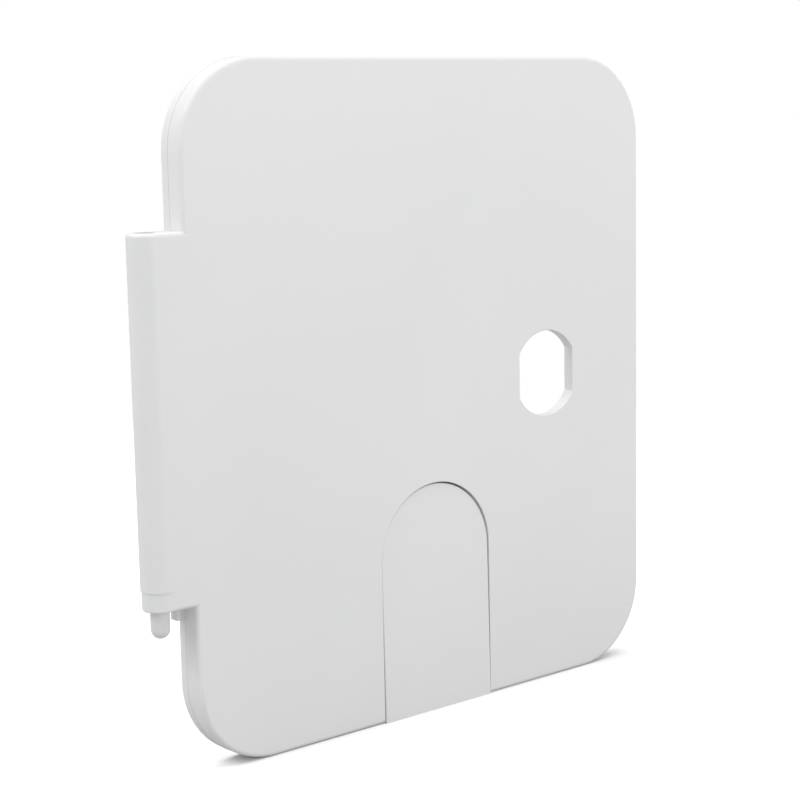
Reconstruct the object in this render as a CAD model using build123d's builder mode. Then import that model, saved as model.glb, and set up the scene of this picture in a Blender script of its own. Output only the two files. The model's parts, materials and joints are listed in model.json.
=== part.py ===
"""Access hatch door for a caravan or camper: a moulded panel on a side hinge, with a cable flap."""

import os

from build123d import *

# Sizes in millimetres. The origin is on the hinge axis, at the lower end of the barrel.
# The door stands upright: +Z up, +X from the hinge to the lock, the outside face towards -Y.

# Door panel
door_width = 126.0
door_height = 140.0
door_depth = 6.3
corner_radius = 18.0
skin = 2.5
rim_wall = 2.2
edge_round = 0.9
edge_break = 0.25

# Hinge leaf and barrel
hinge_reach = 6.2
hinge_foot = 34.4
hinge_length = 72.9
barrel_radius = 3.6
collar_step = 0.2
collar_ease = 1.6
foot_collar = 4.0
leaf_round = 0.8
barrel_end_round = 0.5
leaf_web = 2.0
leaf_pockets = 4
lug_width = 2.0
lug_depth = 2.2
lug_height = 3.2

# Hinge pin and the bores in the barrel
pin_radius = 1.9
pin_reach = 5.7
shank_radius = 2.1
shank_length = 14.0
socket_radius = 2.0
socket_depth = 8.0
core_radius = 1.5

# Lock hole: round, with a flat on each side
lock_hole_diameter = 19.1
lock_hole_flats = 16.4
lock_hole_inset = 30.0
lock_hole_rise = 0.3

# Cable flap and its opening at the foot of the door
opening_half_width = 15.4
opening_spring = 34.8
opening_offset = 0.7
flap_gap = 0.2
flap_drop = 0.25
flap_recess = 0.57
flap_lean = 0.9  # degrees
flap_lap = 1.6
flap_lift = 0.3
flange_thickness = 1.5
neck_half_width = 9.0
pivot_rise = 4.2
knuckle_radius = 1.7
knuckle_half_length = 12.0
trunnion_radius = 1.2
trunnion_play = 0.1
side_play = 0.5
bearing_width = 3.0
bearing_wall = 1.1
snap_slot = 1.9

# Ribs on the back of the skin
rib = 1.5
rib_height = 2.5
surround_play = 1.2
surround_rise = 4.2

# Places worked out from the sizes above
face_y = -barrel_radius
back_y = face_y + door_depth
skin_y = face_y + skin
left_x = hinge_reach
right_x = left_x + door_width
foot_z = -hinge_foot
head_z = foot_z + door_height
mid_x = (left_x + right_x) / 2
mid_z = (foot_z + head_z) / 2
lock_x = right_x - lock_hole_inset
lock_z = mid_z + lock_hole_rise
flap_x = mid_x - opening_offset
spring_z = foot_z + opening_spring
flange_radius = opening_half_width + flap_lap
flap_half_width = opening_half_width - flap_gap
flange_y = skin_y + flap_lift
pivot_y = flange_y + knuckle_radius
pivot_z = spring_z + opening_half_width + pivot_rise
bearing_x = knuckle_half_length + side_play + bearing_width / 2
bearing_radius = trunnion_radius + trunnion_play + bearing_wall
surround_x = flange_radius + surround_play + rib / 2
surround_z = pivot_z + bearing_radius + surround_rise


def facing(y):
    """Sketch plane parallel to the door's face at this depth, drawn as seen from outside."""
    return Plane.XZ.offset(-y)


# Blank of the hinge leaf: a flat tongue level with the door's face, which roots in the rim.
with BuildPart() as leaf_blank:
    with BuildSketch(facing(face_y)):
        Rectangle(left_x + rim_wall, hinge_length, align=(Align.MIN, Align.MIN))
    extrude(amount=-door_depth)
    tongue_edges = leaf_blank.faces().sort_by(Axis.Y)[0].edges().sort_by(Axis.Z)
    fillet([tongue_edges[0], tongue_edges[-1]], leaf_round)

# Root of the leaf, inside the door's outline.
with BuildPart() as leaf_root:
    add(leaf_blank.part)
    split(bisect_by=Plane.YZ.offset(left_x), keep=Keep.TOP)

# Door panel: a skin with a rim round the back, ribs, and two bearings for the flap.
with BuildPart() as door_panel:
    with BuildSketch(facing(face_y)):
        with Locations((mid_x, mid_z)):
            RectangleRounded(door_width, door_height, corner_radius)
    extrude(amount=-door_depth)
    fillet(door_panel.faces().sort_by(Axis.Y)[0].edges(), edge_round)
    with BuildSketch(facing(skin_y)):
        with Locations((mid_x, mid_z)):
            RectangleRounded(door_width - 2 * rim_wall, door_height - 2 * rim_wall, corner_radius - rim_wall)
    extrude(amount=-door_depth, mode=Mode.SUBTRACT)
    add(leaf_root.part)

    # Ribs: one across near the head, one beside each flank of the flap, in line with the leaf's ends.
    with BuildSketch(facing(skin_y)):
        with Locations((mid_x, hinge_length - leaf_web / 2)):
            Rectangle(door_width - rim_wall, rib)
        with Locations((left_x + rim_wall / 2, leaf_web / 2)):
            Rectangle(flap_x - surround_x - left_x - rim_wall / 2, rib, align=(Align.MIN, Align.CENTER))
        with Locations((right_x - rim_wall / 2, leaf_web / 2)):
            Rectangle(right_x - rim_wall / 2 - flap_x - surround_x, rib, align=(Align.MAX, Align.CENTER))
    extrude(amount=-rib_height)

    # Surround of the flap: a rib on each flank, joined above the bearings.
    with BuildSketch(facing(skin_y)):
        with Locations((flap_x - surround_x, foot_z + rim_wall / 2), (flap_x + surround_x, foot_z + rim_wall / 2)):
            Rectangle(rib, surround_z - foot_z - rim_wall / 2, align=(Align.CENTER, Align.MIN))
        with Locations((flap_x, surround_z - rib / 2)):
            Rectangle(2 * surround_x, rib)
    extrude(amount=-(door_depth - skin))

    # Bearings of the flap: two lugs with a round seat, open to the back so the flap snaps in.
    with BuildSketch(Plane.YZ.offset(flap_x)):
        with Locations((pivot_y, pivot_z)):
            Circle(bearing_radius)
        with Locations((skin_y - skin / 2, pivot_z)):
            Rectangle(pivot_y - skin_y + skin / 2, 2 * bearing_radius, align=(Align.MIN, Align.CENTER))
        with Locations((pivot_y, pivot_z)):
            Circle(trunnion_radius + trunnion_play, mode=Mode.SUBTRACT)
            Rectangle(2 * bearing_radius, snap_slot, align=(Align.MIN, Align.CENTER), mode=Mode.SUBTRACT)
    extrude(amount=bearing_x + bearing_width / 2, both=True)
    with BuildSketch(facing(skin_y)):
        with Locations((flap_x, pivot_z)):
            Rectangle(2 * bearing_x - bearing_width, 4 * bearing_radius)
    extrude(amount=-door_depth, mode=Mode.SUBTRACT)

    # Lock hole, right through the skin.
    with BuildSketch(facing(face_y)):
        with Locations((lock_x, lock_z)):
            Circle(lock_hole_diameter / 2)
            Rectangle(lock_hole_flats, lock_hole_diameter, mode=Mode.INTERSECT)
    extrude(amount=-door_depth, mode=Mode.SUBTRACT)
    fillet(door_panel.faces().sort_by(Axis.Y)[0].inner_wires()[0].edges(), edge_break)

    # Arched opening for the flap, cut through the skin and the rim below it.
    with BuildSketch(facing(face_y)):
        with Locations((flap_x, spring_z)):
            Circle(opening_half_width)
            Rectangle(2 * opening_half_width, 2 * opening_spring, align=(Align.CENTER, Align.MAX))
    extrude(amount=-2 * door_depth, mode=Mode.SUBTRACT)

# Hinge barrel: a round rod along the edge of the leaf, with a slimmer collar at the foot.
with BuildPart() as hinge_barrel:
    with BuildSketch(Plane.XY):
        Circle(barrel_radius - collar_step)
    extrude(amount=foot_collar)
    fillet(hinge_barrel.edges().sort_by(Axis.Z)[0], barrel_end_round)
    with BuildSketch(Plane.XY.offset(foot_collar)):
        Circle(barrel_radius)
    extrude(amount=hinge_length - foot_collar)
    fillet(hinge_barrel.edges().sort_by(Axis.Z)[-1], leaf_round)

# Hinge leaf: the tongue outside the door's outline, cored from the back between webs, with the barrel.
with BuildPart() as hinge_leaf:
    add(leaf_blank.part)
    split(bisect_by=Plane.YZ.offset(left_x), keep=Keep.BOTTOM)

    # The tongue's face eases back to meet the collar.
    with BuildSketch(Plane.XY):
        with BuildLine():
            Polyline((0, face_y), (collar_ease, face_y), (0, face_y + collar_step), close=True)
        make_face()
    extrude(amount=foot_collar, mode=Mode.SUBTRACT)
    pocket_pitch = (hinge_length - leaf_web) / leaf_pockets
    with BuildSketch(facing(skin_y)):
        with Locations((0, hinge_length / 2)):
            with GridLocations(left_x, pocket_pitch, 1, leaf_pockets):
                Rectangle(left_x, pocket_pitch - leaf_web, align=(Align.MIN, Align.CENTER))
    extrude(amount=-door_depth, mode=Mode.SUBTRACT)
    add(hinge_barrel.part)

    # Lug behind the foot of the leaf, against the rim.
    with BuildSketch(facing(back_y)):
        with Locations((left_x, leaf_web / 2)):
            Rectangle(lug_width, lug_height + leaf_web / 2, align=(Align.MAX, Align.MAX))
    extrude(amount=lug_depth)

    # Barrel bore: a seat for the pin below, an open socket above, a slimmer core between.
    with BuildSketch(Plane.XY):
        Circle(core_radius)
    extrude(amount=hinge_length, mode=Mode.SUBTRACT)
    with BuildSketch(Plane.XY):
        Circle(shank_radius)
    extrude(amount=shank_length, mode=Mode.SUBTRACT)
    with BuildSketch(Plane.XY.offset(hinge_length)):
        Circle(socket_radius)
    extrude(amount=-socket_depth, mode=Mode.SUBTRACT)

# Hinge pin: a stepped pin pressed into the barrel's lower end, with a round tip.
with BuildPart() as hinge_pin:
    with BuildSketch(Plane.XY):
        Circle(shank_radius)
    extrude(amount=shank_length)
    with BuildSketch(Plane.XY):
        Circle(pin_radius)
    extrude(amount=-(pin_reach - pin_radius))
    with Locations((0, 0, -(pin_reach - pin_radius))):
        Sphere(pin_radius)

# Cable flap: an arched plate in the opening, a wider flange behind it and a pivot along its top.
# The plate's face is sunk at the head and leans out a little, so that its foot stands just proud.
with BuildPart() as cable_flap:
    with BuildSketch(facing(flange_y + flange_thickness)):
        with Locations((flap_x, spring_z - flap_drop)):
            Circle(flap_half_width)
            Rectangle(2 * flap_half_width, opening_spring - flap_drop, align=(Align.CENTER, Align.MAX))
    extrude(amount=2 * door_depth)
    plate_face = Plane((flap_x, face_y + flap_recess, pivot_z), z_dir=(0, -1, 0)).rotated((-flap_lean, 0, 0))
    split(bisect_by=plate_face, keep=Keep.BOTTOM)
    fillet(cable_flap.faces().sort_by(Axis.Y)[0].edges().sort_by(Axis.Z)[1:], edge_break)
    with BuildSketch(facing(flange_y)):
        with Locations((flap_x, spring_z)):
            Circle(flange_radius)
            Rectangle(2 * flange_radius, opening_spring - rim_wall - surround_play, align=(Align.CENTER, Align.MAX))
        with Locations((flap_x, pivot_z)):
            Rectangle(2 * neck_half_width, opening_half_width, align=(Align.CENTER, Align.MAX))
    extrude(amount=-flange_thickness)
    with BuildSketch(Plane.YZ.offset(flap_x)):
        with Locations((pivot_y, pivot_z)):
            Circle(knuckle_radius)
    extrude(amount=knuckle_half_length, both=True)
    with BuildSketch(Plane.YZ.offset(flap_x)):
        with Locations((pivot_y, pivot_z)):
            Circle(trunnion_radius)
    extrude(amount=bearing_x + bearing_width / 2, both=True)

os.makedirs("parts", exist_ok=True)

door_panel.part.label = "door_panel"
export_step(door_panel.part, "parts/door_panel.step")
hinge_leaf.part.label = "hinge_leaf"
export_step(hinge_leaf.part, "parts/hinge_leaf.step")
hinge_pin.part.label = "hinge_pin"
export_step(hinge_pin.part, "parts/hinge_pin.step")
cable_flap.part.label = "cable_flap"
export_step(cable_flap.part, "parts/cable_flap.step")
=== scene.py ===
import json
import math

import bpy
from mathutils import Matrix, Vector

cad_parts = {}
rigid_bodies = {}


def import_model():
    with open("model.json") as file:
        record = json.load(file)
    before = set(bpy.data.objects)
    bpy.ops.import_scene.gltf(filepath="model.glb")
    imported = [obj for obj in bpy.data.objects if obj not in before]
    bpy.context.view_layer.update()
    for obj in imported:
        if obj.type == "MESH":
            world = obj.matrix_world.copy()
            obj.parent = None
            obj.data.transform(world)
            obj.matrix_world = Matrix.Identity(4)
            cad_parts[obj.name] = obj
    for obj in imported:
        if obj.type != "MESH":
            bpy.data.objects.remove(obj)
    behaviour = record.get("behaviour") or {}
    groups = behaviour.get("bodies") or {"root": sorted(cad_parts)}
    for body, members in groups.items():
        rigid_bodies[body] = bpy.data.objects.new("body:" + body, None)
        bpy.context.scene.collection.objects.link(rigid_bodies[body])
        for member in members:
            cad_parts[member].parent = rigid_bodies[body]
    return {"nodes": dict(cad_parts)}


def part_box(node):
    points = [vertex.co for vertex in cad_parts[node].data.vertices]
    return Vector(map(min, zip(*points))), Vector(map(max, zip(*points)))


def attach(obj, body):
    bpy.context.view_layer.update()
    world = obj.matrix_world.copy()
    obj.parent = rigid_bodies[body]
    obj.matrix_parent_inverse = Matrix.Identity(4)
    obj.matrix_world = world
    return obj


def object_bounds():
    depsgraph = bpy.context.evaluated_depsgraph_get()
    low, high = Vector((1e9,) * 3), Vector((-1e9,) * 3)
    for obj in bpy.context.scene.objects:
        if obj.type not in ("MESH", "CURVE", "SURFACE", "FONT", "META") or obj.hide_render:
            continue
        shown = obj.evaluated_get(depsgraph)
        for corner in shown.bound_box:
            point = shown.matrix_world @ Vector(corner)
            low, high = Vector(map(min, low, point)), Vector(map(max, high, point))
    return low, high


for starter in list(bpy.data.objects):
    bpy.data.objects.remove(starter)

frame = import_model()
cad_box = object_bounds()
door_collection = bpy.context.scene.collection.objects

# Viewpoint. A long lens a little below the door's head, turned 40 degrees towards the hinge,
# so that the outside face, the hinge edge and the pin below the barrel all show.
camera_place = Vector((-0.1938, -0.3018, 0.09496))
camera_yaw = math.radians(40.292)
camera_pitch = math.radians(8.779)
camera_roll = math.radians(-1.179)
sight = Vector((
    math.sin(camera_yaw) * math.cos(camera_pitch),
    math.cos(camera_yaw) * math.cos(camera_pitch),
    -math.sin(camera_pitch),
))
level = Vector((math.cos(camera_yaw), -math.sin(camera_yaw), 0))
rise = level.cross(sight)
across = level * math.cos(camera_roll) + rise * math.sin(camera_roll)
upward = rise * math.cos(camera_roll) - level * math.sin(camera_roll)
camera_data = bpy.data.cameras.new("door_camera")
camera_data.lens = 84.9
camera_data.clip_start = 0.01
camera_data.clip_end = 50
camera = bpy.data.objects.new("door_camera", camera_data)
camera_turn = Matrix((across, upward, -sight)).transposed().to_4x4()
camera.matrix_world = Matrix.Translation(camera_place) @ camera_turn
door_collection.link(camera)
bpy.context.scene.camera = camera

# Door panel and hinge leaf. One injection moulding in white, weather-proof plastic: a flat skin with
# a rim and ribs behind it and the hinge barrel along one edge. The mould was spark-eroded, so the
# outside is satin with a very fine grain, and the ribbed side is duller.
finish = bpy.data.node_groups.new("moulded_finish", "ShaderNodeTree")
finish.interface.new_socket("Place", in_out="INPUT", socket_type="NodeSocketVector")
finish.interface.new_socket("Grain Scale", in_out="INPUT", socket_type="NodeSocketFloat")
flow_input = finish.interface.new_socket("Flow Scale", in_out="INPUT", socket_type="NodeSocketFloat")
flow_input.default_value = 22
finish.interface.new_socket("Tone", in_out="OUTPUT", socket_type="NodeSocketFloat")
finish.interface.new_socket("Gloss Drift", in_out="OUTPUT", socket_type="NodeSocketFloat")
finish.interface.new_socket("Height", in_out="OUTPUT", socket_type="NodeSocketFloat")
group_in = finish.nodes.new("NodeGroupInput")
group_out = finish.nodes.new("NodeGroupOutput")

# Spark erosion leaves overlapping craters about 0.2 mm across.
craters = finish.nodes.new("ShaderNodeTexVoronoi")
craters.feature = "SMOOTH_F1"
craters.inputs["Smoothness"].default_value = 0.6
speckle = finish.nodes.new("ShaderNodeTexNoise")
speckle.inputs["Detail"].default_value = 3
height = finish.nodes.new("ShaderNodeMath")
height.operation = "MULTIPLY_ADD"
height.inputs[1].default_value = 0.5
# Slow drift in tone and gloss, from the way the plastic flowed and cooled.
flow = finish.nodes.new("ShaderNodeTexNoise")
flow.inputs["Detail"].default_value = 2
flow.inputs["Roughness"].default_value = 0.4
flow.inputs["Distortion"].default_value = 0.6
gloss = finish.nodes.new("ShaderNodeMath")
gloss.operation = "MULTIPLY_ADD"
gloss.inputs[1].default_value = 0.35
for source, name, target, socket in (
    (group_in, "Place", craters, "Vector"), (group_in, "Grain Scale", craters, "Scale"),
    (group_in, "Place", speckle, "Vector"), (group_in, "Grain Scale", speckle, "Scale"),
    (group_in, "Place", flow, "Vector"), (group_in, "Flow Scale", flow, "Scale"),
    (craters, "Distance", height, 0), (speckle, "Fac", height, 2),
    (craters, "Distance", gloss, 0), (flow, "Fac", gloss, 2),
    (flow, "Fac", group_out, "Tone"), (gloss, "Value", group_out, "Gloss Drift"),
    (height, "Value", group_out, "Height"),
):
    finish.links.new(source.outputs[name], target.inputs[socket])


def moulded_plastic(name, dark, light, satin, dull, grain_depth, grain_scale):
    """White plastic with a spark-eroded grain: satin to the front and sides, duller behind."""
    material = bpy.data.materials.new(name)
    material.use_nodes = True
    nodes, links = material.node_tree.nodes, material.node_tree.links
    surface = nodes["Principled BSDF"]
    surface.inputs["IOR"].default_value = 1.5
    place = nodes.new("ShaderNodeTexCoord")
    grain = nodes.new("ShaderNodeGroup")
    grain.node_tree = finish
    grain.inputs["Grain Scale"].default_value = grain_scale
    links.new(place.outputs["Object"], grain.inputs["Place"])
    tone = nodes.new("ShaderNodeValToRGB")
    tone.color_ramp.elements[0].position = 0.3
    tone.color_ramp.elements[0].color = (*dark, 1)
    tone.color_ramp.elements[1].position = 0.7
    tone.color_ramp.elements[1].color = (*light, 1)
    links.new(grain.outputs["Tone"], tone.inputs["Fac"])
    links.new(tone.outputs["Color"], surface.inputs["Base Color"])
    facing = nodes.new("ShaderNodeSeparateXYZ")
    links.new(place.outputs["Normal"], facing.inputs["Vector"])
    back = nodes.new("ShaderNodeMapRange")
    back.inputs["From Min"].default_value = 0.3
    back.inputs["From Max"].default_value = 0.8
    back.inputs["To Min"].default_value = satin
    back.inputs["To Max"].default_value = dull
    links.new(facing.outputs["Y"], back.inputs["Value"])
    roughness = nodes.new("ShaderNodeMath")
    roughness.operation = "MULTIPLY_ADD"
    roughness.inputs[1].default_value = 0.12
    links.new(grain.outputs["Gloss Drift"], roughness.inputs[0])
    links.new(back.outputs["Result"], roughness.inputs[2])
    links.new(roughness.outputs["Value"], surface.inputs["Roughness"])
    bump = nodes.new("ShaderNodeBump")
    bump.inputs["Strength"].default_value = 0.5
    bump.inputs["Distance"].default_value = grain_depth
    links.new(grain.outputs["Height"], bump.inputs["Height"])
    links.new(bump.outputs["Normal"], surface.inputs["Normal"])
    return material


door_white = moulded_plastic(
    "door_white_plastic", (0.784, 0.790, 0.788), (0.804, 0.809, 0.807), 0.36, 0.50, 0.000012, 4500)
frame["nodes"]["door_panel"].data.materials[0] = door_white
frame["nodes"]["hinge_leaf"].data.materials[0] = door_white

# Marks of the mould, on the ribbed side. Round ejector pins pushed the door out of the mould, and each
# left a shallow pad with a hair of flash round it. The plastic came in at a gate near the middle,
# where the sprue was cut off.
marks_tree = bpy.data.node_groups.new("mould_marks", "GeometryNodeTree")
marks_tree.interface.new_socket("Geometry", in_out="INPUT", socket_type="NodeSocketGeometry")
marks_tree.interface.new_socket("Mark Radius", in_out="INPUT", socket_type="NodeSocketFloat")
marks_tree.interface.new_socket("Mark Height", in_out="INPUT", socket_type="NodeSocketFloat")
marks_tree.interface.new_socket("Flash Radius", in_out="INPUT", socket_type="NodeSocketFloat")
marks_tree.interface.new_socket("Finish", in_out="INPUT", socket_type="NodeSocketMaterial")
marks_tree.interface.new_socket("Geometry", in_out="OUTPUT", socket_type="NodeSocketGeometry")
tree_in = marks_tree.nodes.new("NodeGroupInput")
tree_out = marks_tree.nodes.new("NodeGroupOutput")
pad = marks_tree.nodes.new("GeometryNodeMeshCylinder")
pad.inputs["Vertices"].default_value = 40
ring = marks_tree.nodes.new("GeometryNodeCurvePrimitiveCircle")
ring.inputs["Resolution"].default_value = 40
bead = marks_tree.nodes.new("GeometryNodeCurvePrimitiveCircle")
bead.inputs["Resolution"].default_value = 8
flash = marks_tree.nodes.new("GeometryNodeCurveToMesh")
half = marks_tree.nodes.new("ShaderNodeMath")
half.operation = "MULTIPLY"
half.inputs[1].default_value = 0.5
lifted = marks_tree.nodes.new("ShaderNodeCombineXYZ")
raised = marks_tree.nodes.new("GeometryNodeTransform")
mark = marks_tree.nodes.new("GeometryNodeJoinGeometry")
turned = marks_tree.nodes.new("GeometryNodeTransform")
turned.inputs["Rotation"].default_value = (math.radians(-90), 0, 0)
spread = marks_tree.nodes.new("GeometryNodeInstanceOnPoints")
real = marks_tree.nodes.new("GeometryNodeRealizeInstances")
coat = marks_tree.nodes.new("GeometryNodeSetMaterial")
for source, name, target, socket in (
    (tree_in, "Mark Radius", pad, "Radius"), (tree_in, "Mark Height", pad, "Depth"),
    (tree_in, "Mark Radius", ring, "Radius"), (tree_in, "Flash Radius", bead, "Radius"),
    (ring, "Curve", flash, "Curve"), (bead, "Curve", flash, "Profile Curve"),
    (tree_in, "Mark Height", half, 0), (half, "Value", lifted, "Z"),
    (lifted, "Vector", raised, "Translation"), (flash, "Mesh", raised, "Geometry"),
    (pad, "Mesh", mark, "Geometry"), (raised, "Geometry", mark, "Geometry"),
    (mark, "Geometry", turned, "Geometry"), (turned, "Geometry", spread, "Instance"),
    (tree_in, "Geometry", spread, "Points"), (spread, "Instances", real, "Geometry"),
    (real, "Geometry", coat, "Geometry"), (tree_in, "Finish", coat, "Material"),
    (coat, "Geometry", tree_out, "Geometry"),
):
    marks_tree.links.new(source.outputs[name], target.inputs[socket])


def grown(name, points, edges, tree, sizes):
    """Plain mesh piece that a node tree makes from points and edges, with its inputs set by name."""
    seed_mesh = bpy.data.meshes.new(name + "_places")
    seed_mesh.from_pydata(points, edges, [])
    piece = bpy.data.objects.new(name, seed_mesh)
    door_collection.link(piece)
    modifier = piece.modifiers.new("grow", "NODES")
    modifier.node_group = tree
    for socket in tree.interface.items_tree:
        if socket.in_out == "INPUT" and socket.name in sizes:
            modifier[socket.identifier] = sizes[socket.name]
    bpy.context.view_layer.update()
    settled = piece.evaluated_get(bpy.context.evaluated_depsgraph_get())
    mesh = bpy.data.meshes.new_from_object(settled)
    piece.modifiers.remove(modifier)
    piece.data = mesh
    return piece


panel_low, panel_high = (Vector(corner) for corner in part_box("door_panel"))
skin_thickness = 0.0025
skin_back = panel_low.y + skin_thickness
ejector_marks = grown("ejector_marks", [
    (panel_low.x + x, skin_back, panel_low.z + z) for x, z in (
        (0.014, 0.126), (0.063, 0.128), (0.112, 0.126), (0.014, 0.092), (0.060, 0.092), (0.112, 0.092),
        (0.014, 0.050), (0.046, 0.072), (0.116, 0.050), (0.020, 0.018), (0.034, 0.046), (0.106, 0.018),
    )], [], marks_tree,
    {"Mark Radius": 0.0025, "Mark Height": 0.00014, "Flash Radius": 0.00005, "Finish": door_white})
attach(ejector_marks, "door")
gate_mark = grown("gate_mark", [(panel_low.x + 0.063, skin_back, panel_low.z + 0.078)], [], marks_tree,
    {"Mark Radius": 0.0012, "Mark Height": 0.0007, "Flash Radius": 0.00016, "Finish": door_white})
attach(gate_mark, "door")

# Parting line. The two halves of the mould met on the rim, 4.2 mm behind the face, and left a fine
# raised line round the outside of it, broken at the hinge leaf and along the foot. Its colour is
# painted darker than the door's: painted shade along the line's crease.
line_tree = bpy.data.node_groups.new("parting_line", "GeometryNodeTree")
line_tree.interface.new_socket("Geometry", in_out="INPUT", socket_type="NodeSocketGeometry")
line_tree.interface.new_socket("Line Radius", in_out="INPUT", socket_type="NodeSocketFloat")
line_tree.interface.new_socket("Finish", in_out="INPUT", socket_type="NodeSocketMaterial")
line_tree.interface.new_socket("Geometry", in_out="OUTPUT", socket_type="NodeSocketGeometry")
tree_in = line_tree.nodes.new("NodeGroupInput")
tree_out = line_tree.nodes.new("NodeGroupOutput")
route = line_tree.nodes.new("GeometryNodeMeshToCurve")
bead = line_tree.nodes.new("GeometryNodeCurvePrimitiveCircle")
bead.inputs["Resolution"].default_value = 8
swept = line_tree.nodes.new("GeometryNodeCurveToMesh")
real = line_tree.nodes.new("GeometryNodeRealizeInstances")
coat = line_tree.nodes.new("GeometryNodeSetMaterial")
for source, name, target, socket in (
    (tree_in, "Geometry", route, "Mesh"), (tree_in, "Line Radius", bead, "Radius"),
    (route, "Curve", swept, "Curve"), (bead, "Curve", swept, "Profile Curve"),
    (swept, "Mesh", real, "Geometry"), (real, "Geometry", coat, "Geometry"),
    (tree_in, "Finish", coat, "Material"), (coat, "Geometry", tree_out, "Geometry"),
):
    line_tree.links.new(source.outputs[name], target.inputs[socket])

# A darker copy of the door plastic: painted shade along the parting line.
line_painted_shade = moulded_plastic(
    "line_painted_shade_plastic", (0.64, 0.645, 0.63), (0.72, 0.725, 0.71), 0.45, 0.50, 0.000012, 4500)
corner = 0.018
corner_steps = 24
line_radius = 0.00006
line_gap = 0.0004
parting_depth = 0.0042
line_y = panel_low.y + parting_depth
leaf_foot, leaf_head = (end[2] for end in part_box("hinge_leaf"))


def bend(middle_x, middle_z, start):
    """Points round one rounded corner of the rim, a quarter turn clockwise from the start angle."""
    return [
        (middle_x + corner * math.cos(angle), line_y, middle_z + corner * math.sin(angle))
        for angle in (math.radians(start - 90 * i / corner_steps) for i in range(corner_steps + 1))
    ]


line_points = [(panel_low.x, line_y, leaf_head + line_gap)]
line_points += bend(panel_low.x + corner, panel_high.z - corner, 180)
line_points += bend(panel_high.x - corner, panel_high.z - corner, 90)
line_points += bend(panel_high.x - corner, panel_low.z + corner, 0)
upper_count = len(line_points)
line_points += bend(panel_low.x + corner, panel_low.z + corner, 270)
line_points += [(panel_low.x, line_y, leaf_foot - line_gap)]
line_edges = [(i, i + 1) for i in range(len(line_points) - 1) if i != upper_count - 1]
parting_line = grown("parting_line", line_points, line_edges, line_tree, {
    "Line Radius": line_radius, "Finish": line_painted_shade})
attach(parting_line, "door")

# Hinge pin. A short stepped peg of the same plastic, pressed into the lower end of the barrel.
# It is polished by turning in the hatch frame, so it is smoother than the door.
# Its colour is painted darker than the door's: painted shade under the barrel.
pin_painted_shade = moulded_plastic(
    "pin_painted_shade_plastic", (0.705, 0.711, 0.709), (0.73, 0.735, 0.733), 0.28, 0.30, 0.000006, 6000)
frame["nodes"]["hinge_pin"].data.materials[0] = pin_painted_shade

# Cable flap. A separate moulding of the same white plastic that snaps into two bearings behind
# the skin and closes the arched opening at the foot of the door.
flap_white = moulded_plastic(
    "flap_white_plastic", (0.783, 0.788, 0.786), (0.803, 0.807, 0.805), 0.37, 0.50, 0.000012, 4700)
frame["nodes"]["cable_flap"].data.materials[0] = flap_white
flap_low = Vector(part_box("cable_flap")[0])
flange_depth = 0.0043
flange_back = panel_low.y + flange_depth
flap_marks = grown("flap_ejector_marks", [
    (flap_low.x + x, flange_back, flap_low.z + z) for x, z in (
        (0.007, 0.010), (0.027, 0.010), (0.017, 0.040),
    )], [], marks_tree,
    {"Mark Radius": 0.002, "Mark Height": 0.00014, "Flash Radius": 0.00005, "Finish": flap_white})
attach(flap_marks, "flap")

# Stage. A pale round table top in a white studio. The table keeps the lamps' contact shadow, deepened
# close to the door by painted shade from ambient occlusion; the camera sees the rest of it and the
# studio as white.
stage_x = 0.07
table_radius = 0.42
table_mesh = bpy.data.meshes.new("table_top")
rim_points = 96
table_mesh.from_pydata(
    [(
        stage_x + table_radius * math.cos(2 * math.pi * i / rim_points),
        table_radius * math.sin(2 * math.pi * i / rim_points),
        cad_box[0][2],
    ) for i in range(rim_points)],
    [], [tuple(range(rim_points))],
)
table = bpy.data.objects.new("table_top", table_mesh)
door_collection.link(table)
table_white = bpy.data.materials.new("table_white")
table_white.use_nodes = True
nodes, links = table_white.node_tree.nodes, table_white.node_tree.links
nodes.clear()
output = nodes.new("ShaderNodeOutputMaterial")
path = nodes.new("ShaderNodeLightPath")
choose = nodes.new("ShaderNodeMixShader")
pale = nodes.new("ShaderNodeBsdfDiffuse")
pale.inputs["Color"].default_value = (0.5, 0.5, 0.5, 1)
# Painted shade: ambient occlusion darkens the table's colour for the camera close to the door.
painted_contact_shade = nodes.new("ShaderNodeAmbientOcclusion")
painted_contact_shade.samples = 16
painted_contact_shade.inputs["Distance"].default_value = 0.02
shade = nodes.new("ShaderNodeMapRange")
shade.inputs["From Min"].default_value = 0.1
shade.inputs["From Max"].default_value = 0.97
shade.inputs["To Min"].default_value = 0.46
shade.inputs["To Max"].default_value = 0.62
bright = nodes.new("ShaderNodeBsdfDiffuse")
links.new(painted_contact_shade.outputs["AO"], shade.inputs["Value"])
links.new(shade.outputs["Result"], bright.inputs["Color"])
seen = nodes.new("ShaderNodeAddShader")
links.new(bright.outputs["BSDF"], seen.inputs[0])
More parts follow.
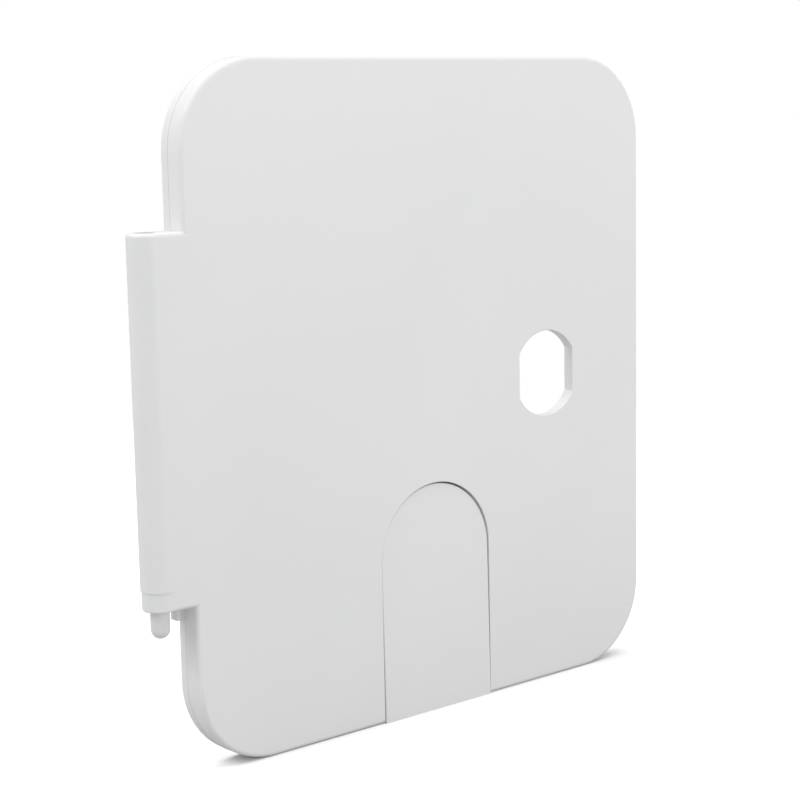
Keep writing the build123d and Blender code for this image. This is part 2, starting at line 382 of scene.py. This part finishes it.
links.new(bright.outputs["BSDF"], seen.inputs[1])
links.new(path.outputs["Is Camera Ray"], choose.inputs["Fac"])
links.new(pale.outputs["BSDF"], choose.inputs[1])
links.new(seen.outputs["Shader"], choose.inputs[2])
links.new(choose.outputs["Shader"], output.inputs["Surface"])
table_mesh.materials.append(table_white)

studio = bpy.data.worlds.new("white_studio")
bpy.context.scene.world = studio
studio.use_nodes = True
nodes, links = studio.node_tree.nodes, studio.node_tree.links
nodes.clear()
output = nodes.new("ShaderNodeOutputWorld")
path = nodes.new("ShaderNodeLightPath")
strength = nodes.new("ShaderNodeMapRange")
strength.inputs["To Min"].default_value = 0.61
strength.inputs["To Max"].default_value = 1.0
walls = nodes.new("ShaderNodeBackground")
walls.inputs["Color"].default_value = (1, 1, 1, 1)
links.new(path.outputs["Is Camera Ray"], strength.inputs["Value"])
links.new(strength.outputs["Result"], walls.inputs["Strength"])
links.new(walls.outputs["Background"], output.inputs["Surface"])

# Lamps. Five round softboxes 0.7 m away: one overhead and one low in front, both a little to the lock
# side, one behind, and two on the hinge side, the upper of which throws the leaf's shade on the rim.
lamp_distance = 0.7
lamp_size = 0.35
lamp_target = Vector((stage_x, 0, 0.035))
for name, azimuth, elevation, power in (
    ("overhead_softbox", -20, 70, 1.07), ("front_softbox", -20, 15, 1.35),
    ("back_softbox", 180, 60, 0.85),
    ("hinge_side_softbox", 100, 45, 1.35), ("hinge_side_fill", 100, 15, 0.42),
):
    lamp_data = bpy.data.lights.new(name, "AREA")
    lamp_data.shape = "DISK"
    lamp_data.size = lamp_size
    lamp_data.energy = power
    lamp = bpy.data.objects.new(name, lamp_data)
    turn, lift = math.radians(azimuth), math.radians(elevation)
    towards = Vector((
        -math.sin(turn) * math.cos(lift), -math.cos(turn) * math.cos(lift), math.sin(lift)))
    lamp.location = lamp_target + lamp_distance * towards
    lamp.rotation_euler = (-towards).to_track_quat("-Z", "Y").to_euler()
    door_collection.link(lamp)

bpy.context.scene.view_settings.view_transform = "Standard"
